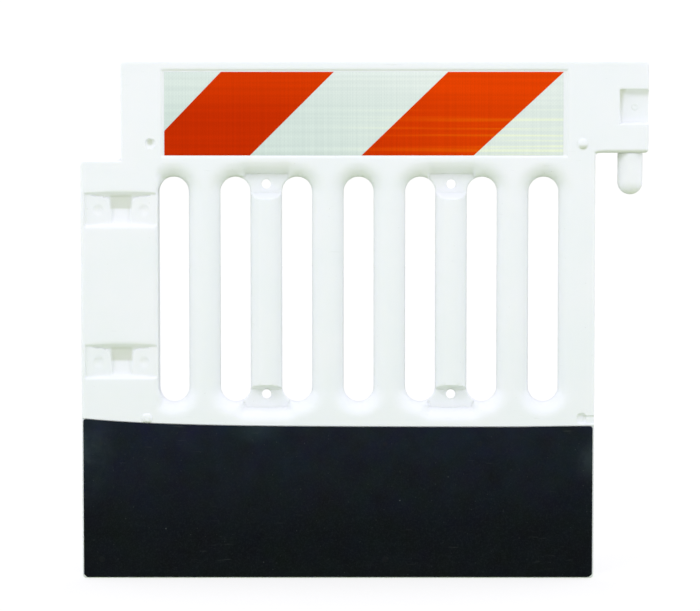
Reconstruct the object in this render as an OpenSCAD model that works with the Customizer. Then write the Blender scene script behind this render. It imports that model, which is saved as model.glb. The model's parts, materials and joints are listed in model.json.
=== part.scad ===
// Pedestrian barrier panel: two moulded half shells closed at the mid-plane, with a hinge pin,
// reflective film on the top rail and black kick plates over the lower third.
// X runs along the panel, the front faces -Y, and Z is up from the ground.

/* [Panel] */
// Overall width, from the hinge column's side to the end of the block
panel_w = 1092; // [1080:1:1120]
// Overall height
panel_h = 1000; // [980:1:1060]
// Thickness over both shells
panel_t = 60; // [58:1:66]
// Wall of the moulded shells
wall = 3; // [2.4:0.2:4]
// Radius of the outline's corners
corner_r = 8; // [5:1:10]
// Bevel along the outline's front and back edges
edge_bevel = 5; // [3:0.5:6]
// Height of the top rail, above the ledge
rail_h = 192; // [186:1:205]
// Width of the ledge to the left of the rail
ledge_w = 78; // [74:1:84]

/* [Slots] */
// Number of slots
slot_count = 7; // [6:1:7]
// Clear width of a slot
slot_w = 58; // [50:1:60]
// Height of the slots' lower ends above the kick plates
slot_sill = 45; // [41:1:53]
// Distance of the slots' upper ends below the ledge
slot_head = 31; // [30:1:60]
// Width of the hinge column, up to the first slot
column_w = 149; // [146:1:156]
// Width of the post, to the right of the last slot
post_w = 69; // [64:1:80]
// How far the round slot edge is fuller than the half thickness
flare_over = 0.6; // [0.5:0.1:1.5]

/* [Bolt pads] */
// Bars that end in a pinched flat pad, counted from the left
pad_bars = [2, 5];
// Bolt hole diameter
bolt_d = 18; // [10:0.5:20]
// Distance of a bolt hole from the slots' ends
bolt_inset = 14; // [12:1:16]
// Distance of the bar's nose from the slots' ends
pad_reach = 26; // [25:1:30]
// Run of the bar's sloping nose
nose_run = 12; // [6:1:16]
// How far a pad reaches past the slots' ends
pad_rise = 6; // [3:1:7]

/* [Interlock] */
// Width of the overhanging block
block_w = 102; // [96:1:110]
// Height of the block's underside above the ledge
block_step = 15; // [12:1:20]
// Pin diameter
pin_d = 48; // [40:0.5:48]
// Length of the pin under the block
pin_drop = 80; // [74:1:84]
// Distance of the pin's axis from the end of the block
pin_inset = 33; // [30:1:36]
// Gap between one panel's block and the next one's rail
joint_gap = 4; // [2:0.5:8]
// Radial clearance of the pin in the socket
socket_gap = 0.4; // [0.2:0.05:0.5]
// Free depth under the pin's nose
socket_end_gap = 4; // [2:0.5:6]
// Bevel at the socket's mouth
socket_bevel = 2; // [1:0.5:3]
// Diameter of the pin's shank inside the block
shank_d = 40; // [34:0.5:42]
// Width of the pin's tongue
tongue_w = 44; // [38:1:48]
// Gap between the tongue and each shell
tongue_gap = 0.2; // [0.1:0.05:0.5]

/* [Block recess] */
// Width of the recess at the end of the block
recess_w = 52; // [46:1:56]
// Depth of the recess on each face
recess_d = 12; // [8:0.5:14]
// Height of the recess above the block's underside
recess_rise = 54; // [50:1:60]
// Distance of the recess below the top of the panel
recess_drop = 54; // [47:1:60]

/* [Column pockets] */
// Distance of a pocket from the column's sides
pocket_side = 6.5; // [5.5:0.5:11]
// Height of a pocket
pocket_h = 66; // [56:1:72]
// Height of the lower pocket above the kick plates
pocket_rise = 93; // [83:1:103]
// Depth at the pocket's outer sides
pocket_rim_d = 3; // [2:0.5:5]
// Depth beside the channel
pocket_d = 12; // [9:0.5:13]
// Width of the channel down the middle
channel_w = 40; // [34:1:46]
// Depth of the channel
channel_d = 18; // [15:0.5:20]
// Slope run of the channel's sides
channel_draft = 1; // [0.5:0.5:3]
// Slope run of the pocket's upper and lower walls
pocket_draft = 8; // [4:0.5:10]
// How far the upper pocket reaches above the seated pin's nose
pocket_lap = 6; // [2:0.5:6]
// Diameter of the small dimples beside the channel
kiss_d = 10; // [6:1:12]
// Depth of those dimples, below the pocket's shoulder
kiss_depth = 3; // [2:0.5:4]

/* [Stacking studs] */
// Stud diameter
stud_d = 20; // [14:1:24]
// Stud height
stud_h = 3; // [2:0.5:4]
// Clearance of a stud in its dimple
stud_gap = 0.5; // [0.3:0.1:1]
// Distance of the left studs from the rail's left end
stud_in_left = 51; // [49:1:54]
// Distance of the right studs from the body's right side
stud_in_right = 27; // [25:1:30]
// Height of the upper studs above the ledge
stud_rise = 35; // [30:1:60]
// Height of the lower studs above the kick plates
stud_lift = 13; // [13:1:16]

/* [Reflective film] */
// Distance of the film from the rail's left end
film_in_left = 80.5; // [78:0.5:100]
// Distance of the film from the body's right side
film_in_right = 56.5; // [54:0.5:75]
// Distance of the film below the top of the panel
film_drop = 21; // [16:1:34]
// Thickness of the silver film
film_t = 0.6; // [0.4:0.1:0.8]
// Thickness of the orange stripes
stripe_t = 0.3; // [0.2:0.1:0.5]
// Width of a stripe, square to its edges
stripe_w = 152; // [120:1:153]
// Distance from stripe to stripe along the rail
stripe_pitch = 438; // [430:1:440]
// Start of the first stripe along the film's upper edge
stripe_start = 110; // [90:1:112]
// Depth of the recess that the film lies in
film_recess_d = 2.5; // [2:0.1:3]
// Gap around the film in its recess
film_gap = 1; // [0.5:0.1:2]
// Height of the film above the ledge
film_rise = 8; // [6:1:12]

/* [Kick plates] */
// Height of a kick plate
kick_h = 295; // [280:1:296]
// Thickness of a kick plate
kick_t = 4; // [3:0.5:5]
// Distance of a plate's ends from the sides of the body
kick_inset = 3; // [2:0.5:6]
// Height of a plate's lower edge above the ground
kick_foot = 2; // [1:0.5:4]
// Gap between a plate's upper edge and the shell
kick_gap = 1; // [0.5:0.1:2]
// Bevel of a plate's lower corners
kick_bevel = 6; // [3:1:10]

/* [Rivets] */
// Rivets along a kick plate
rivet_cols = 6; // [4:1:8]
// Distance of the rivets from the plate's edges
rivet_inset = 35; // [25:1:45]
// Shank diameter of a kick plate rivet
rivet_d = 6; // [4:0.2:7]
// Head diameter of a kick plate rivet
rivet_head_d = 12; // [10:0.5:14]
// Height of the sunk head
rivet_head_h = 2.4; // [1.5:0.1:2.8]
// Diameter of the upset tail
rivet_tail_d = 10; // [9:0.5:12]
// Length of the upset tail
rivet_tail_l = 6; // [4:0.5:8]
// Outer diameter of the tubular pin rivet
tube_rivet_d = 8; // [6:0.5:10]
// Bore of the tubular pin rivet
tube_rivet_bore = 4.5; // [3:0.5:5]
// Head diameter of the pin rivet
tube_rivet_head_d = 15; // [13:0.5:18]
// Head height of the pin rivet
tube_rivet_head_h = 2.5; // [2:0.1:3]
// Clearance of rivets and shanks in their holes
hole_gap = 0.2; // [0.1:0.05:0.3]

/* [Hidden] */
$fn = 64;
arc_steps = 5;
past = 1;
least_bevel = 1;
left = -panel_w / 2;
right = panel_w / 2;
body_right = right - block_w;
rail_left = left + ledge_w;
half_t = panel_t / 2;
ledge_z = panel_h - rail_h;
block_z = ledge_z + block_step;
flare_r = half_t + flare_over;
kick_top = kick_foot + kick_h;
slot_low = kick_top + slot_sill;
slot_top = ledge_z - slot_head;
slot_h = slot_top - slot_low;
slot_r = slot_w / 2;
first_slot = left + column_w + slot_r;
last_slot = body_right - post_w - slot_r;
slot_pitch = (last_slot - first_slot) / (slot_count - 1);
slots = [for (i = [0 : slot_count - 1]) first_slot + i * slot_pitch];
pin_r = pin_d / 2;
pin_x = right - pin_inset;
pin_tip = block_z - pin_drop;
socket_r = pin_r + socket_gap;
socket_x = rail_left - joint_gap - pin_inset;
socket_z = pin_tip - socket_end_gap;
pocket_x = left + column_w / 2;
pocket_w = column_w - 2 * pocket_side;
pocket_low = kick_top + pocket_rise;
pocket_high = pin_tip + pocket_lap - pocket_h;
kiss_x = (channel_w + pocket_w) / 4;
recess_z = block_z + recess_rise;
recess_h = panel_h - recess_drop - recess_z;
rivet_x = right - recess_w / 2;
rivet_z = recess_z + recess_h / 2;
tongue_top = recess_z + recess_h - wall - tongue_gap;
film_left = rail_left + film_in_left;
film_right = body_right - film_in_right;
film_w = film_right - film_left;
film_z = ledge_z + film_rise;
film_h = panel_h - film_drop - film_z;
film_y = half_t - film_recess_d;
kick_left = left + kick_inset;
kick_w = body_right - left - 2 * kick_inset;
kick_y = half_t - kick_t;
upper_studs = ledge_z + stud_rise;
lower_studs = kick_top + kick_gap + stud_lift;
left_studs = rail_left + stud_in_left;
right_studs = body_right - stud_in_right;
rising = [[left_studs, lower_studs], [right_studs, upper_studs]];
sunk = [[left_studs, upper_studs], [right_studs, lower_studs]];

// A face is drawn in its own plan: X along the panel, Y up, and Z out from the mid-plane
module on_front() { rotate([90, 0, 0]) children(); }
module on_back() { mirror([0, 1, 0]) on_front() children(); }
module turned_to_back() { translate([film_left + film_right, 0, 0]) rotate([0, 0, 180]) on_front() children(); }

// Corners of the outline, anticlockwise from the lower left, drawn in by an inset
function outline_corners(inset) = [
    [left + inset, inset],
    [body_right - inset, inset],
    [body_right - inset, block_z + inset],
    [right - inset, block_z + inset],
    [right - inset, panel_h - inset],
    [rail_left + inset, panel_h - inset],
    [rail_left + inset, ledge_z - inset],
    [left + inset, ledge_z - inset]
];
inner_corners = [2, 6];

function towards(a, b) = (b - a) / norm(b - a);
function is_inner(i) = len(search(i, inner_corners)) > 0;

// A right-angled corner replaced by an arc of radius r
function corner_arc(before, p, after, r) =
    let (u = towards(p, before), v = towards(p, after), c = p + r * (u + v))
    [for (i = [0 : arc_steps]) c - r * (cos(90 * i / arc_steps) * v + sin(90 * i / arc_steps) * u)];

function rounded(p, r) =
    [for (i = [0 : len(p) - 1]) each corner_arc(p[(i + len(p) - 1) % len(p)], p[i], p[(i + 1) % len(p)], r)];

// A 45 degree cut along one edge of the outline, stopped at the inner corners
module edge_cut(corners, i, top, bevel) {
    j = (i + 1) % len(corners);
    a = corners[i];
    b = corners[j];
    start = is_inner(i) ? 0 : -past;
    run = norm(b - a) - start + (is_inner(j) ? 0 : past);
    translate(a)
        rotate([0, 0, atan2(b[1] - a[1], b[0] - a[0])])
            translate([start, 0, 0])
                rotate([90, 0, 90])
                    linear_extrude(run)
                        polygon([[-past, top + past], [-past, top - bevel - past], [bevel + past, top + past]]);
}

// The plain half of the panel, or the same form drawn in on every side for the hollow inside it
module form(inset) {
    corners = outline_corners(inset);
    top = half_t - inset;
    foot = inset > 0 ? -past : 0;
    bevel = max(edge_bevel - inset * (2 - sqrt(2)), least_bevel);
    difference() {
        translate([0, 0, foot])
            linear_extrude(top - foot)
                polygon(rounded(corners, corner_r));
        for (i = [0 : len(corners) - 1])
            edge_cut(corners, i, top, bevel);
    }
}

// Side of a slot, from its middle out to the round edge of the bar
module slot_side(grow) {
    reach = half_t - grow + flare_over / 2;
    difference() {
        translate([0, -reach])
            square([slot_r + flare_r, 2 * reach]);
        translate([slot_r + flare_r, 0])
            circle(flare_r - grow);
    }
}

module slot(x, grow) {
    straight = slot_h - slot_w;
    translate([x, slot_low + slot_r, 0]) {
        for (side = [0, 1])
            mirror([side, 0, 0])
                translate([0, straight, 0])
                    rotate([90, 0, 0])
                        linear_extrude(straight)
                            slot_side(grow);
        translate([0, straight, 0])
            rotate_extrude(angle = 180)
                slot_side(grow);
        rotate([0, 0, 180])
            rotate_extrude(angle = 180)
                slot_side(grow);
    }
}

// A bar's end pinched flat between two slots, with the slots' round edge above it
module pad(bar, grow) {
    from = slots[bar - 1] - grow;
    floor_z = grow > 0 ? -past : wall;
    root = -pad_reach - grow;
    nose = root - nose_run * (half_t + past - floor_z) / (half_t - wall);
    for (end = [0, 1])
        translate([from, end == 0 ? slot_top : slot_low, 0])
            mirror([0, end, 0])
                rotate([90, 0, 90])
                    linear_extrude(slot_pitch + 2 * grow)
                        difference() {
                            polygon([
                                [nose, half_t + past], [root, floor_z],
                                [pad_rise + flare_r, floor_z], [pad_rise + flare_r, half_t + past]
                            ]);
                            translate([pad_rise + flare_r, 0])
                                circle(flare_r - grow);
                        }
}

module bolt_holes() {
    for (bar = pad_bars, z = [slot_low + bolt_inset, slot_top - bolt_inset])
        translate([slots[bar - 1] + slot_pitch / 2, z, -past])
            cylinder(d = bolt_d, h = half_t);
}

// A valley across the column with a flat channel down its middle
module pocket(z, grow) {
    side = pocket_w / 2 + grow;
    lip = channel_w / 2 + grow;
    rim = half_t - pocket_rim_d - grow;
    shoulder = half_t - pocket_d - grow;
    bed = half_t - channel_d - grow;
    top = half_t + past;
    low = z - grow;
    high = z + pocket_h + grow;
    translate([pocket_x, 0, 0])
        intersection() {
            translate([0, high, 0])
                rotate([90, 0, 0])
                    linear_extrude(high - low)
                        polygon([
                            [-side, top], [-side, rim], [-lip, shoulder], [channel_draft - lip, bed],
                            [lip - channel_draft, bed], [lip, shoulder], [side, rim], [side, top]
                        ]);
            translate([-side, 0, 0])
                rotate([90, 0, 90])
                    linear_extrude(2 * side)
                        polygon([
                            [low, top], [low + pocket_draft, bed], [high - pocket_draft, bed], [high, top]
                        ]);
        }
}

// Small dimples in a pocket's two slopes, where the front and back walls are drawn together
module kiss_offs(z, grow) {
    for (side = [-1, 1])
        translate([pocket_x + side * kiss_x, z + pocket_h / 2, half_t - pocket_d - kiss_depth - grow])
            cylinder(d = kiss_d + 2 * grow, h = pocket_d + kiss_depth + grow);
}

// Round-bottomed hole of one radius, mouth upward, with its lowest point at the origin
module round_hole(r, depth) {
    rotate_extrude() {
        translate([0, r])
            square([r, depth - r]);
        translate([0, r])
            intersection() {
                circle(r);
                translate([0, -r])
                    square(r);
            }
    }
}

// The socket under the ledge that takes the next panel's pin
module socket(grow) {
    translate([socket_x, 0, 0])
        rotate([-90, 0, 0]) {
            translate([0, 0, socket_z - grow])
                round_hole(socket_r + grow, ledge_z + past - socket_z + grow);
            translate([0, 0, ledge_z - socket_bevel])
                cylinder(h = 2 * socket_bevel, r1 = socket_r + grow, r2 = socket_r + 2 * socket_bevel + grow);
        }
}

module shank_hole() {
    translate([pin_x, block_z - past, 0])
        rotate([-90, 0, 0])
            cylinder(r = shank_d / 2 + hole_gap, h = wall + 2 * past);
}

module block_recess(grow) {
    translate([right - recess_w - grow, recess_z - grow, half_t - recess_d - grow])
        cube([recess_w + grow + past, recess_h + 2 * grow, recess_d + grow + past]);
}

module film_recess(grow) {
    side = film_gap + grow;
    translate([film_left - side, film_z - side, film_y - grow])
        cube([film_w + 2 * side, film_h + 2 * side, film_recess_d + grow + past]);
}

module kick_rebate(grow) {
    translate([left - past, -past, kick_y - grow])
        cube([body_right - left + 2 * past, kick_top + kick_gap + past + grow, kick_t + grow + past]);
}

module stud(p) {
    translate([p[0], p[1], half_t - wall / 2])
        cylinder(h = wall / 2 + stud_h, d1 = stud_d + wall / 2, d2 = stud_d - stud_h);
}

module dimple(p, grow) {
    depth = stud_h + stud_gap + grow;
    bottom_d = stud_d - stud_h + 2 * stud_gap + 2 * grow;
    translate([p[0], p[1], half_t - depth])
        cylinder(h = depth + past, d1 = bottom_d, d2 = bottom_d + depth + past);
}

// Everything that is sunk into a face, or the same grown by a wall to back it from inside
module sunk_features(dimples, grow) {
    for (x = slots)
        slot(x, grow);
    for (bar = pad_bars)
        pad(bar, grow);
    for (z = [pocket_low, pocket_high]) {
        pocket(z, grow);
        kiss_offs(z, grow);
    }
    socket(grow);
    block_recess(grow);
    film_recess(grow);
    kick_rebate(grow);
    for (p = dimples)
        dimple(p, grow);
}

function rivet_places() = [
    for (i = [0 : rivet_cols - 1], z = [kick_foot + rivet_inset, kick_top - rivet_inset])
        [kick_left + rivet_inset + i * (kick_w - 2 * rivet_inset) / (rivet_cols - 1), z]
];

module half_shell(studs, dimples) {
    difference() {
        union() {
            form(0);
            for (p = studs)
                stud(p);
        }
        sunk_features(dimples, 0);
        difference() {
            form(wall);
            sunk_features(dimples, wall);
        }
        bolt_holes();
        shank_hole();
        for (p = rivet_places())
            translate([p[0], p[1], kick_y - wall - past])
                cylinder(d = rivet_d + 2 * hole_gap, h = wall + 2 * past);
        translate([rivet_x, rivet_z, -past])
            cylinder(d = tube_rivet_d + 2 * hole_gap, h = half_t);
    }
}

module front_shell() {
    color("white")
        on_front()
            half_shell(rising, sunk);
}

// The back's studs face the front's dimples, so that panels nest when they are stacked
module back_shell() {
    color("white")
        on_back()
            half_shell(sunk, rising);
}

// Round-nosed pin with a shoulder under the block and a tongue that the rivet holds
module interlock_pin() {
    shank_top = recess_z - wall;
    tongue_t = 2 * (half_t - recess_d - wall - tongue_gap);
    color("whitesmoke")
        difference() {
            translate([pin_x, 0, 0]) {
                translate([0, 0, pin_tip])
                    round_hole(pin_r, pin_drop);
                translate([0, 0, block_z - past])
                    cylinder(d = shank_d, h = shank_top - block_z + past);
                translate([-tongue_w / 2, -tongue_t / 2, shank_top - past])
                    cube([tongue_w, tongue_t, tongue_top - shank_top + past]);
            }
            translate([rivet_x, panel_t, rivet_z])
                rotate([90, 0, 0])
                    cylinder(d = tube_rivet_d + 2 * hole_gap, h = 2 * panel_t);
        }
}

module pin_rivet() {
    grip = half_t - recess_d;
    color("ghostwhite")
        translate([rivet_x, 0, rivet_z])
            rotate([90, 0, 0])
                difference() {
                    union() {
                        cylinder(d = tube_rivet_d, h = 2 * grip + past, center = true);
                        for (side = [0, 1])
                            mirror([0, 0, side])
                                translate([0, 0, grip])
                                    cylinder(
                                        d1 = tube_rivet_head_d,
                                        d2 = tube_rivet_head_d - tube_rivet_head_h,
                                        h = tube_rivet_head_h
                                    );
                    }
                    cylinder(d = tube_rivet_bore, h = 2 * panel_t, center = true);
                }
}

module sheeting() {
    color("gainsboro")
        translate([film_left, film_z, film_y])
            cube([film_w, film_h, film_t]);
}

// A 45 degree stripe, cut off at the film's edges
module stripe(i) {
    start = stripe_start + i * stripe_pitch;
    run = stripe_w * sqrt(2);
    color("orangered")
        translate([film_left, film_z, film_y + film_t])
            linear_extrude(stripe_t)
                intersection() {
                    square([film_w, film_h]);
                    polygon([
                        [start - film_h, 0], [start + run - film_h, 0],
                        [start + run, film_h], [start, film_h]
                    ]);
                }
}

module kick_plate() {
    color("#1a1c1e")
        difference() {
            translate([kick_left, kick_foot, kick_y])
                linear_extrude(kick_t)
                    polygon([
                        [kick_bevel, 0], [kick_w - kick_bevel, 0], [kick_w, kick_bevel],
                        [kick_w, kick_h], [0, kick_h], [0, kick_bevel]
                    ]);
            for (p = rivet_places())
                translate([p[0], p[1], half_t])
                    rivet_hole();
        }
}

// Countersunk hole through a plate, with the plate's face at the origin
module rivet_hole() {
    shank_r = rivet_d / 2 + hole_gap;
    head_r = rivet_head_d / 2 + hole_gap;
    rotate_extrude()
        polygon([
            [0, past], [head_r, past], [head_r, 0], [shank_r, -rivet_head_h - hole_gap],
            [shank_r, -kick_t - past], [0, -kick_t - past]
        ]);
}

// Sunk head, shank and upset tail, with the head's face at the origin
module rivet() {
    shank_r = rivet_d / 2;
    tail_r = rivet_tail_d / 2;
    grip = kick_t + wall;
    rotate_extrude()
        polygon([
            [0, 0], [rivet_head_d / 2, 0], [shank_r, -rivet_head_h], [shank_r, -grip],
            [tail_r, -grip], [tail_r, -grip - rivet_tail_l], [0, -grip - rivet_tail_l]
        ]);
}

module kick_rivets() {
    color("#101214")
        for (p = rivet_places())
            translate([p[0], p[1], half_t])
                rivet();
}

module front_sheeting() { on_front() sheeting(); }
module front_stripe_left() { on_front() stripe(0); }
module front_stripe_right() { on_front() stripe(1); }
module back_sheeting() { turned_to_back() sheeting(); }
module back_stripe_left() { turned_to_back() stripe(0); }
module back_stripe_right() { turned_to_back() stripe(1); }
module front_kick_plate() { on_front() kick_plate(); }
module back_kick_plate() { on_back() kick_plate(); }
module front_kick_rivets() { on_front() kick_rivets(); }
module back_kick_rivets() { on_back() kick_rivets(); }

front_shell();
back_shell();
interlock_pin();
pin_rivet();
front_sheeting();
front_stripe_left();
front_stripe_right();
back_sheeting();
back_stripe_left();
back_stripe_right();
front_kick_plate();
back_kick_plate();
front_kick_rivets();
back_kick_rivets();
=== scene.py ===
import json
import math
from functools import reduce

import bmesh
import bpy
import numpy as np
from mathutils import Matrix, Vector
from mathutils.geometry import delaunay_2d_cdt


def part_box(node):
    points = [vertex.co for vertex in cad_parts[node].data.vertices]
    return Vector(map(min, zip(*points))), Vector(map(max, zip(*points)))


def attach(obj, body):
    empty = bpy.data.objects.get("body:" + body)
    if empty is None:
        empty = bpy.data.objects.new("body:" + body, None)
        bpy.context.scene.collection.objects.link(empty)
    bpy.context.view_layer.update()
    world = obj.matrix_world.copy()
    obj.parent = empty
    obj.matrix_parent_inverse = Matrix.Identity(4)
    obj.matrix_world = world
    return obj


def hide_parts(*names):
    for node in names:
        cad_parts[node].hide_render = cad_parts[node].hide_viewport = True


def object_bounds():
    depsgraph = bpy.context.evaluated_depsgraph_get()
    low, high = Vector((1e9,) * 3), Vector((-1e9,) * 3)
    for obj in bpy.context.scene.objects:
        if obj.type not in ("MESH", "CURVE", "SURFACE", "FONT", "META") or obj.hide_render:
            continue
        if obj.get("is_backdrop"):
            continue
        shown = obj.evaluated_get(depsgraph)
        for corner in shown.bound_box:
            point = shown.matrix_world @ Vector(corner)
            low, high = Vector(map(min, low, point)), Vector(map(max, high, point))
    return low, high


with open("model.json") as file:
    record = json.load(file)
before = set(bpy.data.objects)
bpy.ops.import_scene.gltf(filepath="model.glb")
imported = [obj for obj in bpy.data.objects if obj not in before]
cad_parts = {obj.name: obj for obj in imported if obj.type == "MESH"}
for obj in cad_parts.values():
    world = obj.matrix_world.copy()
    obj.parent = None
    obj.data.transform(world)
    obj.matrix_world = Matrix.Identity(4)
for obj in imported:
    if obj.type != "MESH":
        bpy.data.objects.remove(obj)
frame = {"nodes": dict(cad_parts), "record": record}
cadLow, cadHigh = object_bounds()
record = frame["record"]
openings = {o["name"]: np.array(o["box_m"]) for o in record["physics"]["openings"]}
mounts = {m["name"]: m for m in record["mounts"]}
hair = 1e-6  # a length that counts as nothing
print("frame loaded,", len(frame["nodes"]), "nodes")


# small maths shared by the surfaces
def least(*values):
    return reduce(np.minimum, values)


def most(*values):
    return reduce(np.maximum, values)


def ease(t):  # three t squared less two t cubed, held between 0 and 1
    t = np.clip(t, 0, 1)
    return t * t * (3 - 2 * t)


def between(v, low, high):  # eased from 0 at the first place to 1 at the second
    return ease((v - low) / (high - low))


def softMin(a, b, k):  # the smaller of two heights, blended over k
    t = np.clip(0.5 + 0.5 * (b - a) / k, 0, 1)
    return b + (a - b) * t - k * t * (1 - t)


def softMax(a, b, k):  # the larger of two heights, blended over k
    return -softMin(-a, -b, k)


def ripples(x, z, waves):  # a half plus sines, each of a height, two pitches and a phase
    return 0.5 + sum(a * np.sin(x * fx + z * fz + phase) for a, fx, fz, phase in waves)


def quarterRound(s, r):  # height of a quarter circle of radius r, a distance s in from its edge
    s = np.clip(s, 0, r)
    return np.sqrt(most(r * r - (r - s) ** 2, 0))


def arcSteps(count, last=90):
    return np.radians(np.linspace(0, last, count))


def boxInside(x, z, x0, x1, z0, z1, r):  # distance to a round-cornered box, positive inside
    qx = np.abs(x - (x0 + x1) / 2) - ((x1 - x0) / 2 - r)
    qz = np.abs(z - (z0 + z1) / 2) - ((z1 - z0) / 2 - r)
    return r - np.hypot(most(qx, 0), most(qz, 0)) - least(most(qx, qz), 0)


def slopeOf(f, x, z, e=2e-5):  # direction in which f grows, from differences over a short step
    gx = (f(x + e, z) - f(x - e, z)) / (2 * e)
    gz = (f(x, z + e) - f(x, z - e)) / (2 * e)
    n = most(np.hypot(gx, gz), hair)
    return gx / n, gz / n


def gridFaces(rows, cols, wrap=False):  # quads of a grid stored row by row
    r, c = np.meshgrid(np.arange(rows - 1), np.arange(cols if wrap else cols - 1), indexing="ij")
    a = r * cols + c
    b = r * cols + (c + 1) % cols
    return np.stack([a, b, b + cols, a + cols], -1).reshape(-1, 4)


def pointsOf(mesh):
    co = np.empty(len(mesh.vertices) * 3, np.float32)
    mesh.vertices.foreach_get("co", co)
    return co.reshape(-1, 3).astype(float).T


def paintPoints(mesh, label, values):
    mesh.attributes.new(label, "FLOAT", "POINT").data.foreach_set("value", values.astype(np.float32))


def addObject(name, data):
    obj = bpy.data.objects.new(name, data)
    bpy.context.collection.objects.link(obj)
    return obj


def placePiece(name, mesh, node, material, sharp):
    mesh.shade_smooth()
    mesh.set_sharp_from_angle(angle=math.radians(sharp))
    mesh.materials.append(material)
    piece = addObject(name, mesh)
    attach(piece, "root")
    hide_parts(node)
    return piece


def meshPiece(name, verts, faces, node, material, sharp=35):
    mesh = bpy.data.meshes.new(name)
    mesh.from_pydata(verts.tolist(), [], faces.tolist())
    mesh.validate()
    bm = bmesh.new()
    bm.from_mesh(mesh)
    bmesh.ops.remove_doubles(bm, verts=bm.verts, dist=hair)
    bmesh.ops.recalc_face_normals(bm, faces=bm.faces)
    bm.to_mesh(mesh)
    bm.free()
    return placePiece(name, mesh, node, material, sharp)


# node helpers
def addNode(tree, kind, inputs=None, **props):  # an input is a link from another node, or a fixed value
    n = tree.nodes.new(f"ShaderNode{kind}")
    for key, value in props.items():
        setattr(n, key, value)
    for key, value in (inputs or {}).items():
        if isinstance(value, bpy.types.NodeSocket):
            tree.links.new(value, n.inputs[key])
        else:
            n.inputs[key].default_value = value
    return n.outputs


def linkAll(tree, sockets, values):
    for label, value in values.items():
        tree.links.new(value, sockets[label])


def mixColour(tree, factor, a, b, mode="MIX"):  # 6, 7 and 2 are the colour sockets of a Mix node
    return addNode(tree, "Mix", {0: factor, 6: a, 7: b}, data_type="RGBA", blend_type=mode)[2]


def maths(tree, op, a, b=0.0, c=0.0, clamp=False):
    return addNode(tree, "Math", {0: a, 1: b, 2: c}, operation=op, use_clamp=clamp)[0]


def times(tree, a, b, plus=0.0):
    return maths(tree, "MULTIPLY_ADD", a, b, plus)


def remap(tree, value, low, high, outLow=0.0, outHigh=1.0, kind="SMOOTHSTEP"):
    ends = {"Value": value, "From Min": low, "From Max": high, "To Min": outLow, "To Max": outHigh}
    return addNode(tree, "MapRange", ends, interpolation_type=kind)["Result"]


def noise(tree, place, scale, detail, roughness=0.5):
    values = {"Vector": place, "Scale": scale, "Detail": detail, "Roughness": roughness}
    return addNode(tree, "TexNoise", values)


def stretched(tree, place, scale, turn=0.0):  # a place scaled along the axes, then turned about Y
    values = {"Vector": place, "Rotation": (0.0, turn, 0.0), "Scale": scale}
    return addNode(tree, "Mapping", values)[0]


def axesOf(tree, place):
    return addNode(tree, "SeparateXYZ", {"Vector": place})


def newGroup(name, values, outputs):  # a group reads a place and some values, and puts out plain values
    tree = bpy.data.node_groups.new(name, "ShaderNodeTree")
    newSocket, kind = tree.interface.new_socket, "NodeSocketFloat"
    newSocket("Place", in_out="INPUT", socket_type="NodeSocketVector")
    for label, value in values.items():
        newSocket(label, in_out="INPUT", socket_type=kind).default_value = value
    for label in outputs:
        newSocket(label, in_out="OUTPUT", socket_type=kind)
    return tree, tree.nodes.new("NodeGroupInput").outputs, tree.nodes.new("NodeGroupOutput").inputs


def useGroup(tree, group, **inputs):
    return addNode(tree, "Group", inputs, node_tree=group)


def emptyTree(owner):  # the node tree of a material or a world, with nothing in it
    owner.use_nodes = True
    owner.node_tree.nodes.clear()
    return owner.node_tree


def newMaterial(name):
    mat = bpy.data.materials.new(name)
    tree = emptyTree(mat)
    out = tree.nodes.new("ShaderNodeOutputMaterial")
    shader = tree.nodes.new("ShaderNodeBsdfPrincipled")
    tree.links.new(shader.outputs[0], out.inputs[0])
    return mat, tree, shader, addNode(tree, "TexCoord")["Object"]


def layered(tree, tone, layers):  # each layer's colour over the last tone, by its mask times its strength
    for mask, strength, colour in layers:
        tone = mixColour(tree, times(tree, mask, strength), tone, colour)
    return tone


def dress(tree, shader, tone, rough, height, bump, specular):
    strength, depth = bump
    normal = addNode(tree, "Bump", {"Height": height, "Strength": strength, "Distance": depth})[0]
    linkAll(tree, shader.inputs, {"Base Color": tone, "Roughness": rough, "Normal": normal})
    shader.inputs["Specular IOR Level"].default_value = specular


# moulded skin: cloudy tone, scratches in patches, fine pebble and a slow ripple
mould = dict(
    cloud=6.0, patch=9.0, pebble=900.0, ripple=14.0, rippleGain=6.0,
    scratch=(26.0, 26.0, 260.0), scratchTurn=0.5, scratchFrom=(0.66, 0.74), patchFrom=(0.5, 0.68))
tree, gin, gout = newGroup(
    "mouldedSkin", dict(Pebble=mould["pebble"], Ripple=mould["ripple"]), ("Tone", "Height", "Scuff"))
mouldGroup = tree
cloud = noise(tree, gin["Place"], mould["cloud"], 5.0, 0.6)["Fac"]
pebble = noise(tree, gin["Place"], gin["Pebble"], 2.0)["Fac"]
ripple = noise(tree, gin["Place"], gin["Ripple"], 1.0)["Fac"]
patch = noise(tree, gin["Place"], mould["patch"], 2.0)["Fac"]
along = stretched(tree, gin["Place"], mould["scratch"], mould["scratchTurn"])
scratch = remap(tree, noise(tree, along, 1.0, 3.0)["Fac"], *mould["scratchFrom"])
scuff = times(tree, scratch, remap(tree, patch, *mould["patchFrom"]))
height = times(tree, ripple, mould["rippleGain"], pebble)
linkAll(tree, gout, dict(Tone=cloud, Height=height, Scuff=scuff))

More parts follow.
